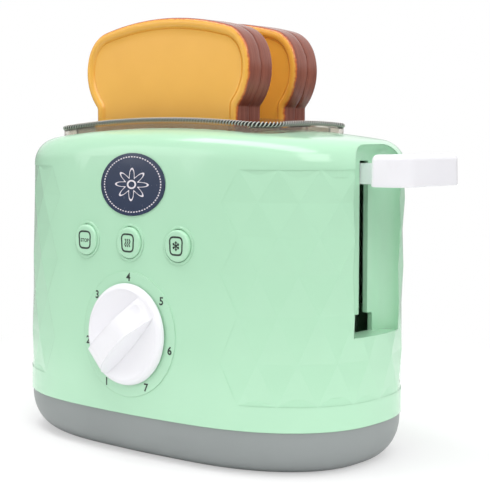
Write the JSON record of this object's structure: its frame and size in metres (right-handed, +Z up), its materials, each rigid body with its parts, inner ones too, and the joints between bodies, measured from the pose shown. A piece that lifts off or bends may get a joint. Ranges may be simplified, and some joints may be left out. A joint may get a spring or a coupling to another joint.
{
  "type": "toy toaster",
  "caption": "Toy pop-up toaster with faceted ends, a side lever that lowers play slices into its slots, a clicking dial and sprung push buttons.",
  "frame": {"origin": "on the surface the toaster stands on, under the middle of the body's outline, which is the middle of the base's flat underside", "axes": "+X lengthwise towards the lever's end, -Y towards the panel with the dial, +Z up"},
  "size_m": [0.2006, 0.109, 0.1773],
  "materials": {
    "mint_casing": "moulded satin gloss",
    "grey_base": "fine moulded satin",
    "rubber": "moulded matte",
    "steel": "drawn and plated",
    "smoky_clear": "polished, smoky and see-through",
    "dark_inner": "moulded matte",
    "white_gloss": "moulded gloss",
    "white_inner": "moulded matte",
    "badge_navy": "printed gloss",
    "bread": "sprayed gloss"
  },
  "bodies": {
    "housing": {"outer_shell": "mint_casing", "badge_plate": "badge_navy", "base_tray": "grey_base", "rubber_feet": "rubber", "base_screws": "steel", "top_grille": "smoky_clear", "bread_well_front": "dark_inner", "bread_well_rear": "dark_inner", "guide_rod_left": "steel", "guide_rod_right": "steel", "return_spring_left": "steel", "return_spring_right": "steel", "latch_pin": "steel", "timer_housing": "white_inner", "timer_cover": "white_inner", "click_spring": "steel", "timer_screws": "steel", "button_carrier": "white_inner", "carrier_screws": "steel", "button_spring_stop": "steel", "button_spring_warm": "steel", "button_spring_frost": "steel"},
    "carriage": {"carriage": "dark_inner", "bread_cradle_front": "dark_inner", "bread_cradle_rear": "dark_inner", "lever_arm": "white_gloss", "lever_handle": "white_gloss", "fork_screw": "steel"},
    "front_slice": {"front_slice_near_half": "bread", "front_slice_far_half": "bread"},
    "rear_slice": {"rear_slice_near_half": "bread", "rear_slice_far_half": "bread"},
    "latch": {"latch_hook": "white_inner"},
    "knob": {"timer_knob": "white_gloss", "timer_shaft": "white_inner", "click_wheel": "white_inner"},
    "stop_button": {"button_stop": "mint_casing"},
    "warm_button": {"button_warm": "mint_casing"},
    "frost_button": {"button_frost": "mint_casing"}
  },
  "joints": [
    {"name": "carriage_slide", "type": "slide", "parent": "housing", "child": "carriage", "axis": [0, 0, 1], "range_m": [-0.05, 0], "stiffness_N_per_m": 60, "springref_m": 0.05, "deforming": ["return_spring_left", "return_spring_right"]},
    {"name": "front_slice_lift", "type": "slide", "parent": "carriage", "child": "front_slice", "axis": [0, 0, 1], "range_m": [0, 0.06]},
    {"name": "rear_slice_lift", "type": "slide", "parent": "carriage", "child": "rear_slice", "axis": [0, 0, 1], "range_m": [0, 0.06]},
    {"name": "latch_swing", "type": "hinge", "parent": "housing", "child": "latch", "pos_m": [0.0725, -0.007, 0.0242], "axis": [0, -1, 0], "range_deg": [0, 15], "stiffness_Nm_per_rad": 0.001, "springref_deg": -5.73},
    {"name": "timer_turn", "type": "hinge", "parent": "housing", "child": "knob", "pos_m": [0, -0.04945, 0.0501], "axis": [0, 0.9989, -0.0471], "range_deg": [-197.5, 105.5]},
    {"name": "stop_press", "type": "slide", "parent": "housing", "child": "stop_button", "axis": [0, 1, 0], "range_m": [0, 0.0015], "stiffness_N_per_m": 300, "springref_m": -0.002, "deforming": ["button_spring_stop"]},
    {"name": "warm_press", "type": "slide", "parent": "housing", "child": "warm_button", "axis": [0, 1, 0], "range_m": [0, 0.0015], "stiffness_N_per_m": 300, "springref_m": -0.002, "deforming": ["button_spring_warm"]},
    {"name": "frost_press", "type": "slide", "parent": "housing", "child": "frost_button", "axis": [0, 1, 0], "range_m": [0, 0.0015], "stiffness_N_per_m": 300, "springref_m": -0.002, "deforming": ["button_spring_frost"]}
  ]
}
